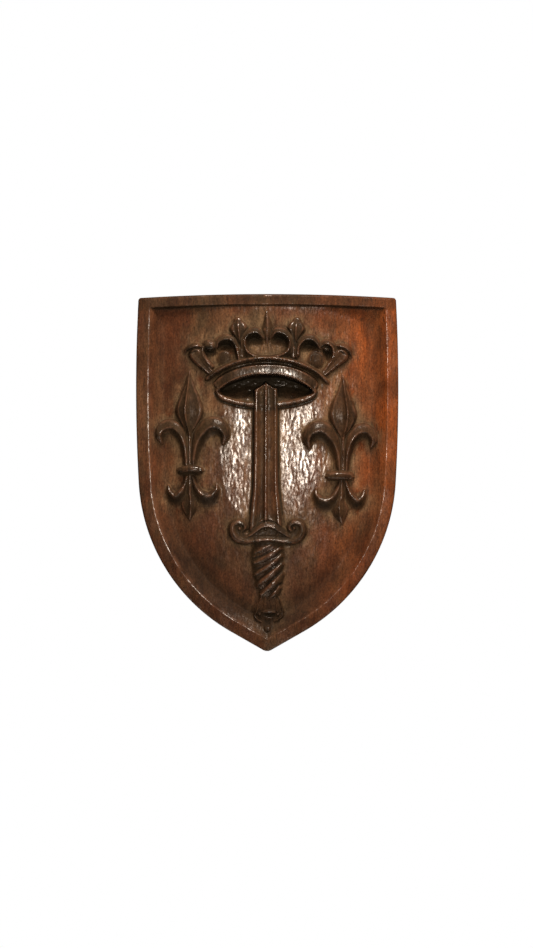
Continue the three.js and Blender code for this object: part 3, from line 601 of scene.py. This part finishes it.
grid_down = along * LENGTH
for _ in range(5):
    grid_x = across * outline_half_width(grid_down)
    bow = TOP_RADIUS - np.sqrt(TOP_RADIUS ** 2 - grid_x ** 2)
    grid_down = bow * (1 - along) + along * LENGTH
# worn corners: the square corner of the net is drawn in to a quarter circle
for hand in (-1, 1):
    a = (CORNER_ROUND - inset_from_side(grid_x, grid_down)) * (grid_x * hand > 0)
    b = CORNER_ROUND - inset_from_top(grid_x, grid_down)
    corner = (a > 0) & (b > 0)
    pull = np.where(corner, 1 - np.maximum(a, b) / np.maximum(np.hypot(a, b), 1e-9), 0)
    grid_x = grid_x - hand * a * pull * corner
    grid_down = grid_down + b * pull * corner

front = np.stack([grid_x, -sampled(height, grid_x, grid_down), WIDEST - grid_down], -1)
edge = np.minimum(inset_from_side(grid_x, grid_down), inset_from_top(grid_x, grid_down))
front[..., 1] = np.where(edge < 0.05, -RIM_OUTSIDE[0][1], front[..., 1])

index = np.arange(ROWS * COLS).reshape(ROWS, COLS)
loop = np.concatenate([index[0, :-1], index[:-1, -1], index[-1, :0:-1], index[:0:-1, 0]])
ring = front.reshape(-1, 3)[loop]
onward = np.roll(ring, -1, axis=0) - np.roll(ring, 1, axis=0)
inward = np.stack([onward[:, 2], -onward[:, 0]], -1)
inward /= np.maximum(np.linalg.norm(inward, axis=1), 1e-9)[:, None]
if np.mean(inward[:, 0] * ring[:, 0]) > 0:
    inward = -inward
vertices = [front.reshape(-1, 3)]
faces = [np.stack([index[:-1, :-1], index[1:, :-1], index[1:, 1:], index[:-1, 1:]], -1).reshape(-1, 4)]
last = loop
count = ROWS * COLS
# how far in and how far from the back each ring of the edge is, and how wide each ring of the back is
EDGE_RINGS = [(0, 28.5), (0, 22), (0, 15), (0, 8), (0, 3), (0, 1.4), (0.15, 0.7), (0.5, 0.2), (1.2, 0)]
BACK_RINGS = [0.985, 0.94, 0.8, 0.6, 0.4, 0.2]
BACK_CENTRE = np.array([0.0, 0.0, WIDEST - 180.0])


def close_on(new_ring):
    global last, count
    vertices.append(new_ring)
    new = np.arange(count, count + len(new_ring))
    count += len(new_ring)
    faces.append(np.stack([last, np.roll(last, -1), np.roll(new, -1), new], -1))
    last = new


for inset, from_back in EDGE_RINGS:
    new_ring = ring.copy()
    new_ring[:, [0, 2]] += inward * inset
    new_ring[:, 1] = -from_back
    close_on(new_ring)
back_edge = vertices[-1]
for reach in BACK_RINGS:
    close_on(BACK_CENTRE + (back_edge - BACK_CENTRE) * reach)
vertices.append(BACK_CENTRE[None])
fan = np.stack([last, np.roll(last, -1), np.full(len(last), count)], -1)

points = np.vstack(vertices)
quads = np.vstack(faces)
shield_mesh = bpy.data.meshes.new("shield_carving")
shield_mesh.vertices.add(len(points))
shield_mesh.vertices.foreach_set("co", (points * MM).astype(np.float32).ravel())
shield_mesh.loops.add(quads.size + fan.size)
corners = np.concatenate([quads.ravel(), fan.ravel()])
shield_mesh.loops.foreach_set("vertex_index", corners.astype(np.int32))
shield_mesh.polygons.add(len(quads) + len(fan))
starts = np.concatenate([np.arange(len(quads)) * 4, quads.size + np.arange(len(fan)) * 3])
shield_mesh.polygons.foreach_set("loop_start", starts.astype(np.int32))
shield_mesh.update(calc_edges=True)

behind = np.concatenate([np.zeros(ROWS * COLS), np.ones(len(points) - ROWS * COLS)])
front_x, front_down = points[:, 0], WIDEST - points[:, 2]
masks = {"crest": crest, "hollow": hollow, "dust": dust, "grime": grime, "soot_and_shade": soot_and_shade, "cove": cove,
         "polish": polish, "underside_shade": underside_shade, "handled": handled}
masks = {name: sampled(field, front_x, front_down) * (1 - behind) for name, field in masks.items()}
for name, values in (masks | {"behind": behind}).items():
    attribute = shield_mesh.attributes.new(name, "FLOAT", "POINT")
    attribute.data.foreach_set("value", values.astype(np.float32))

# Flat stretches need fewer faces than the carving.
MOST_TRIANGLES = 192000
dense = bpy.data.objects.new("dense", shield_mesh)
bpy.context.scene.collection.objects.link(dense)
thin = dense.modifiers.new("thin", "DECIMATE")
thin.ratio = MOST_TRIANGLES / (2 * len(quads) + len(fan))
light_mesh = bpy.data.meshes.new_from_object(dense.evaluated_get(bpy.context.evaluated_depsgraph_get()))
bpy.data.objects.remove(dense)
bpy.data.meshes.remove(shield_mesh)
light_mesh.name = "shield_carving"
shield = bpy.data.objects.new("shield_carving", light_mesh)
bpy.context.scene.collection.objects.link(shield)

# Vertex normals weighted by face area, so that the flat back stays flat at its worn edge.
co = np.empty(len(light_mesh.vertices) * 3)
light_mesh.vertices.foreach_get("co", co)
co = co.reshape(-1, 3)
light_mesh.calc_loop_triangles()
tri = np.empty(len(light_mesh.loop_triangles) * 3, int)
light_mesh.loop_triangles.foreach_get("vertices", tri)
tri = tri.reshape(-1, 3)
cross = np.cross(co[tri[:, 1]] - co[tri[:, 0]], co[tri[:, 2]] - co[tri[:, 0]])
normals = np.zeros_like(co)
for k in range(3):
    for axis in range(3):
        normals[:, axis] += np.bincount(tri[:, k], cross[:, axis], len(co))
normals /= np.maximum(np.linalg.norm(normals, axis=1), 1e-12)[:, None]
light_mesh.polygons.foreach_set("use_smooth", np.ones(len(light_mesh.polygons), bool))
light_mesh.normals_split_custom_set_from_vertices(normals)

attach(shield, "root")
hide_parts("carved_shield")

# ---- The finish --------------------------------------------------------------------------------
# Dark stain under old wax. It has gone red where the sun and hands have thinned it and is orange down
# the right, grey with dust round the charges, black with dirt and painted shade in the crown, and is
# rubbed through on the arrises, with a painted highlight along them.
BROWN = (0.088, 0.041, 0.0185, 1)
DARK_RED = (0.066, 0.023, 0.0095, 1)
OLIVE = (0.052, 0.031, 0.0148, 1)
RUSTY = (0.115, 0.036, 0.012, 1)
ORANGE = (0.21, 0.054, 0.0105, 1)
SHADED = (0.025, 0.0125, 0.006, 1)
GRIMED = (0.026, 0.0178, 0.009, 1)
BLACK_DIRT_AND_SHADE = (0.012, 0.009, 0.005, 1)
DUST = (0.195, 0.133, 0.074, 1)
PORE_DIRT = (0.02, 0.012, 0.007, 1)
RUBBED_AND_HIGHLIT = (0.165, 0.073, 0.038, 1)
BARE_WOOD = (0.16, 0.10, 0.058, 1)
BARE_DARK = (0.10, 0.058, 0.032, 1)


class Bench:
    """Puts nodes on a tree and joins them."""

    def __init__(self, tree):
        self.nodes, self.links = tree.nodes, tree.links

    def put(self, value, socket):
        if isinstance(value, bpy.types.NodeSocket):
            self.links.new(value, socket)
        else:
            socket.default_value = value

    def math(self, operation, a, b, clamp=False):
        node = self.nodes.new("ShaderNodeMath")
        node.operation, node.use_clamp = operation, clamp
        self.put(a, node.inputs[0])
        self.put(b, node.inputs[1])
        return node.outputs[0]

    def times(self, first, *others):
        for other in others:
            first = self.math("MULTIPLY", first, other)
        return first

    def noise(self, place, stretch, detail=2.0, roughness=0.5, shift=(0, 0, 0)):
        mapping = self.nodes.new("ShaderNodeMapping")
        self.put(place, mapping.inputs["Vector"])
        mapping.inputs["Scale"].default_value = stretch
        mapping.inputs["Location"].default_value = shift
        node = self.nodes.new("ShaderNodeTexNoise")
        self.put(mapping.outputs[0], node.inputs["Vector"])
        for label, number in (("Scale", 1.0), ("Detail", detail), ("Roughness", roughness)):
            node.inputs[label].default_value = number
        return node.outputs["Fac"]

    def between(self, value, low, high, to_low=0.0, to_high=1.0):
        node = self.nodes.new("ShaderNodeMapRange")
        node.interpolation_type = "SMOOTHSTEP"
        self.put(value, node.inputs["Value"])
        for label, number in (("From Min", low), ("From Max", high), ("To Min", to_low),
                              ("To Max", to_high)):
            self.put(number, node.inputs[label])
        return node.outputs["Result"]

    def mix(self, factor, a, b, blend="MIX"):
        node = self.nodes.new("ShaderNodeMix")
        node.data_type, node.blend_type = "RGBA", blend
        self.put(factor, node.inputs["Factor"])
        self.put(a, node.inputs[6])
        self.put(b, node.inputs[7])
        return node.outputs[2]

    def tinted(self, tone, strength, mask, dark, light):
        # the tone times a tint that runs from dark to light with the mask
        return self.mix(strength, tone, self.mix(mask, dark, light), "MULTIPLY")

    def attribute(self, name):
        node = self.nodes.new("ShaderNodeAttribute")
        node.attribute_name = name
        return node.outputs["Fac"]


# Upright grain: broad bands, fine fibres, open pores like short dark dashes, and a dapple.
grain = bpy.data.node_groups.new("upright_grain", "ShaderNodeTree")
grain.interface.new_socket("Place", in_out="INPUT", socket_type="NodeSocketVector")
for label in ("Bands", "Fibres", "Pores", "Dapple"):
    grain.interface.new_socket(label, in_out="OUTPUT", socket_type="NodeSocketFloat")
g = Bench(grain)
place = g.nodes.new("NodeGroupInput").outputs["Place"]
grain_out = g.nodes.new("NodeGroupOutput").inputs
g.put(g.noise(place, (42, 42, 7), detail=3), grain_out["Bands"])
g.put(g.noise(place, (420, 420, 26), detail=4, roughness=0.6), grain_out["Fibres"])
g.put(g.between(g.noise(place, (720, 720, 115), roughness=0.6), 0.56, 0.68), grain_out["Pores"])
g.put(g.noise(place, (480, 480, 260), detail=3, roughness=0.65), grain_out["Dapple"])

wood = bpy.data.materials.new("old_waxed_wood")
wood.use_nodes = True
wood.node_tree.nodes.clear()
w = Bench(wood.node_tree)
shader = w.nodes.new("ShaderNodeBsdfPrincipled")
output = w.nodes.new("ShaderNodeOutputMaterial")
w.put(shader.outputs[0], output.inputs[0])
position = w.nodes.new("ShaderNodeTexCoord").outputs["Object"]
parts = w.nodes.new("ShaderNodeSeparateXYZ")
w.put(position, parts.inputs[0])
at_x, _, at_z = parts.outputs
grained = w.nodes.new("ShaderNodeGroup")
grained.node_tree = grain
w.put(position, grained.inputs["Place"])
bands, fibres, pores, dapple = grained.outputs
rubbed_and_highlit, recess_dirt_and_shade, dusty = w.attribute("crest"), w.attribute("hollow"), w.attribute("dust")
grimy, black, behind_face = w.attribute("grime"), w.attribute("soot_and_shade"), w.attribute("behind")
in_cove = w.attribute("cove")

# stain: brown and red by the grain, olive and rusty in blotches
tone = w.mix(w.between(bands, 0.42, 0.62), BROWN, DARK_RED)
blotches = w.noise(position, (34, 34, 22), detail=5, roughness=0.62, shift=(3, 1, 7))
tone = w.mix(w.between(blotches, 0.49, 0.72), tone, OLIVE)
tone = w.mix(w.between(blotches, 0.42, 0.28, 0.0, 0.6), tone, RUSTY)
# orange down the right side, most high up
right = w.between(at_x, 0.02, 0.125)
patchy = w.between(w.noise(position, (30, 30, 12), detail=4, roughness=0.6), 0.3, 0.68, 0.15, 1.0)
upper = w.between(at_z, -0.20, 0.06, 0.6, 1.0)
tone = w.mix(w.times(right, patchy, upper), tone, ORANGE)
# dark red in the cove and low down on the left, and darker still at the foot of the cove
tone = w.mix(w.times(in_cove, w.between(at_x, 0.02, 0.11, 0.45, 0.0)), tone, DARK_RED)
left = w.between(at_x, 0.1, 0.03)
reddened = w.times(w.between(blotches, 0.4, 0.6, 1.0, 0.2), w.between(at_z, -0.04, -0.13))
tone = w.mix(w.times(reddened, left, 0.7), tone, DARK_RED)
low = w.times(w.math("MAXIMUM", in_cove, w.times(left, 0.4)), w.between(at_z, -0.12, -0.21),
              w.between(at_x, 0.02, 0.08, 1.0, 0.35))
tone = w.mix(w.times(low, 0.9), tone, SHADED)
# grime on the charges, painted shade on faces that look down, and dust round them
tone = w.mix(w.times(grimy, 0.85), tone, GRIMED)
tone = w.mix(w.times(w.attribute("underside_shade"), 0.7), tone, BLACK_DIRT_AND_SHADE)
dust_break = w.between(w.noise(position, (90, 90, 60), detail=4, roughness=0.65), 0.3, 0.6)
tone = w.mix(w.times(dusty, dust_break, 0.85), tone, DUST)
# clouds, fibres, pores and flecks
clouds = w.noise(position, (52, 52, 30), detail=6, roughness=0.68, shift=(5, 2, 1))
tone = w.tinted(tone, 1.0, w.between(clouds, 0.32, 0.68), (0.66, 0.62, 0.6, 1), (1.3, 1.24, 1.2, 1))
tone = w.tinted(tone, 0.3, w.between(fibres, 0.3, 0.7), (0.45, 0.42, 0.4, 1), (1.5, 1.45, 1.4, 1))
tone = w.mix(w.times(pores, 0.5), tone, PORE_DIRT)
flecks = w.noise(position, (620, 620, 420), detail=3, roughness=0.7)
tone = w.tinted(tone, 0.5, w.between(flecks, 0.36, 0.64), (0.5, 0.48, 0.46, 1), (1.5, 1.48, 1.46, 1))
# dirt and painted shade in the angles, and rubbed arrises with a painted highlight
tone = w.mix(w.times(recess_dirt_and_shade, 0.55), tone, BLACK_DIRT_AND_SHADE)
rub_break = w.between(w.noise(position, (160, 160, 70), detail=3), 0.35, 0.6)
tone = w.mix(w.times(rubbed_and_highlit, rub_break, 0.42), tone, RUBBED_AND_HIGHLIT)
# soot, dirt and painted shade in the cuts, the scoops and the opening
tone = w.mix(black, tone, BLACK_DIRT_AND_SHADE)
# the edge and the back are planed and bare
planed = w.mix(w.between(bands, 0.3, 0.7), BARE_WOOD, BARE_DARK)
planed = w.tinted(planed, 0.7, w.between(fibres, 0.3, 0.7), (0.5, 0.46, 0.43, 1), (1.3, 1.3, 1.3, 1))
tone = w.mix(behind_face, tone, planed)
w.put(tone, shader.inputs["Base Color"])

# the wood is matt, and the wax over it shines where it is polished and isn't dusty, dirty or open-pored
dirty = w.times(w.math("SUBTRACT", grimy, rubbed_and_highlit), 0.85, w.math("SUBTRACT", 1.0, w.attribute("handled")))
dull = dusty
for cause in (w.times(black, 0.5), dirty, behind_face, w.times(pores, 0.75)):
    dull = w.math("MAXIMUM", dull, cause)
sparkle = w.math("ADD", w.times(dapple, 0.45), w.times(flecks, 0.55))
patches = w.noise(position, (85, 85, 48), detail=3, shift=(2, 9, 4))
glints = w.times(w.between(sparkle, 0.42, 0.58, 0.12, 1.0), w.between(patches, 0.36, 0.58, 0.4, 1.0))
waxed = w.times(w.attribute("polish"), glints)
waxed = w.math("MULTIPLY", waxed, w.math("SUBTRACT", 1.0, dull), clamp=True)
w.put(waxed, shader.inputs["Coat Weight"])
shader.inputs["Coat Roughness"].default_value = 0.255
shader.inputs["Coat IOR"].default_value = 2.1
w.put(w.between(dapple, 0.35, 0.65, 0.6, 0.8), shader.inputs["Roughness"])
shader.inputs["Specular IOR Level"].default_value = 0.1

# surface: fibres, dapples from the tools, and the pores sunk in
lumps = w.math("ADD", w.times(dapple, 0.5), w.times(fibres, 0.35))
lumps = w.math("SUBTRACT", lumps, w.times(pores, 0.45))
bump = w.nodes.new("ShaderNodeBump")
bump.inputs["Strength"].default_value = 1.0
bump.inputs["Distance"].default_value = 0.0003
w.put(lumps, bump.inputs["Height"])
w.put(bump.outputs["Normal"], shader.inputs["Normal"])
light_mesh.materials.clear()
light_mesh.materials.append(wood)

# ---- The room ----------------------------------------------------------------------------------
# The shield hangs free in front of nothing, over a plain pale floor. One small lamp stands close
# above the camera and makes the sheen, a wide soft one overhead leaves the undercuts dark, and a
# third lights the back.
camera_data = bpy.data.cameras.new("camera")
camera_data.sensor_width = 36.0
camera_data.lens = 79.8
camera = bpy.data.objects.new("camera", camera_data)
camera.location = (-0.0008, -2.434, -0.0978)
camera.rotation_euler = (math.radians(90), 0, 0)
bpy.context.scene.collection.objects.link(camera)
bpy.context.scene.camera = camera

WARM = (1.0, 0.86, 0.72)


def soft_lamp(name, place, aim, width, height, power):
    data = bpy.data.lights.new(name, "AREA")
    data.shape, data.size, data.size_y = "RECTANGLE", width, height
    data.energy, data.color = power, WARM
    lamp = bpy.data.objects.new(name, data)
    lamp.location = place
    direction = np.array(aim) - np.array(place)
    flat = math.hypot(direction[0], direction[1])
    lamp.rotation_euler = (math.atan2(flat, -direction[2]), 0, math.atan2(-direction[0], direction[1]))
    bpy.context.scene.collection.objects.link(lamp)
    return lamp


soft_lamp("front_lamp", (0.30, -2.45, 0.0), (0, 0, -0.08), 0.22, 0.22, 38.0)
soft_lamp("overhead_lamp", (0.35, -0.9, 1.6), (0, 0, -0.1), 1.0, 0.5, 58.0)
back_lamp = soft_lamp("back_lamp", (-0.9, 2.2, 0.7), (0, 0, -0.1), 1.2, 1.2, 26.0)
back_lamp.visible_camera = False

world = bpy.data.worlds.new("pale_room")
world.use_nodes = True
bpy.context.scene.world = world
tree = world.node_tree
seen = tree.nodes.new("ShaderNodeLightPath").outputs["Is Camera Ray"]
plain = tree.nodes["Background"]
plain.inputs["Color"].default_value = (1, 1, 1, 1)
strength = tree.nodes.new("ShaderNodeMapRange")
tree.links.new(seen, strength.inputs["Value"])
strength.inputs["To Min"].default_value = 0.04
strength.inputs["To Max"].default_value = 1.0
tree.links.new(strength.outputs["Result"], plain.inputs["Strength"])

FLOOR_LEVEL = -1.0
FLOOR_HALF = 0.9
floor_mesh = bpy.data.meshes.new("floor")
floor_mesh.from_pydata([(-FLOOR_HALF, -FLOOR_HALF, FLOOR_LEVEL), (FLOOR_HALF, -FLOOR_HALF, FLOOR_LEVEL),
                        (FLOOR_HALF, FLOOR_HALF, FLOOR_LEVEL), (-FLOOR_HALF, FLOOR_HALF, FLOOR_LEVEL)],
                       [], [(0, 1, 2, 3)])
floor = bpy.data.objects.new("floor", floor_mesh)
bpy.context.scene.collection.objects.link(floor)
floor_paint = bpy.data.materials.new("pale_floor")
floor_paint.use_nodes = True
floor_shader = floor_paint.node_tree.nodes["Principled BSDF"]
floor_shader.inputs["Base Color"].default_value = (0.86, 0.85, 0.83, 1)
floor_shader.inputs["Roughness"].default_value = 0.8
floor_mesh.materials.append(floor_paint)

bpy.context.scene.view_settings.view_transform = "Standard"
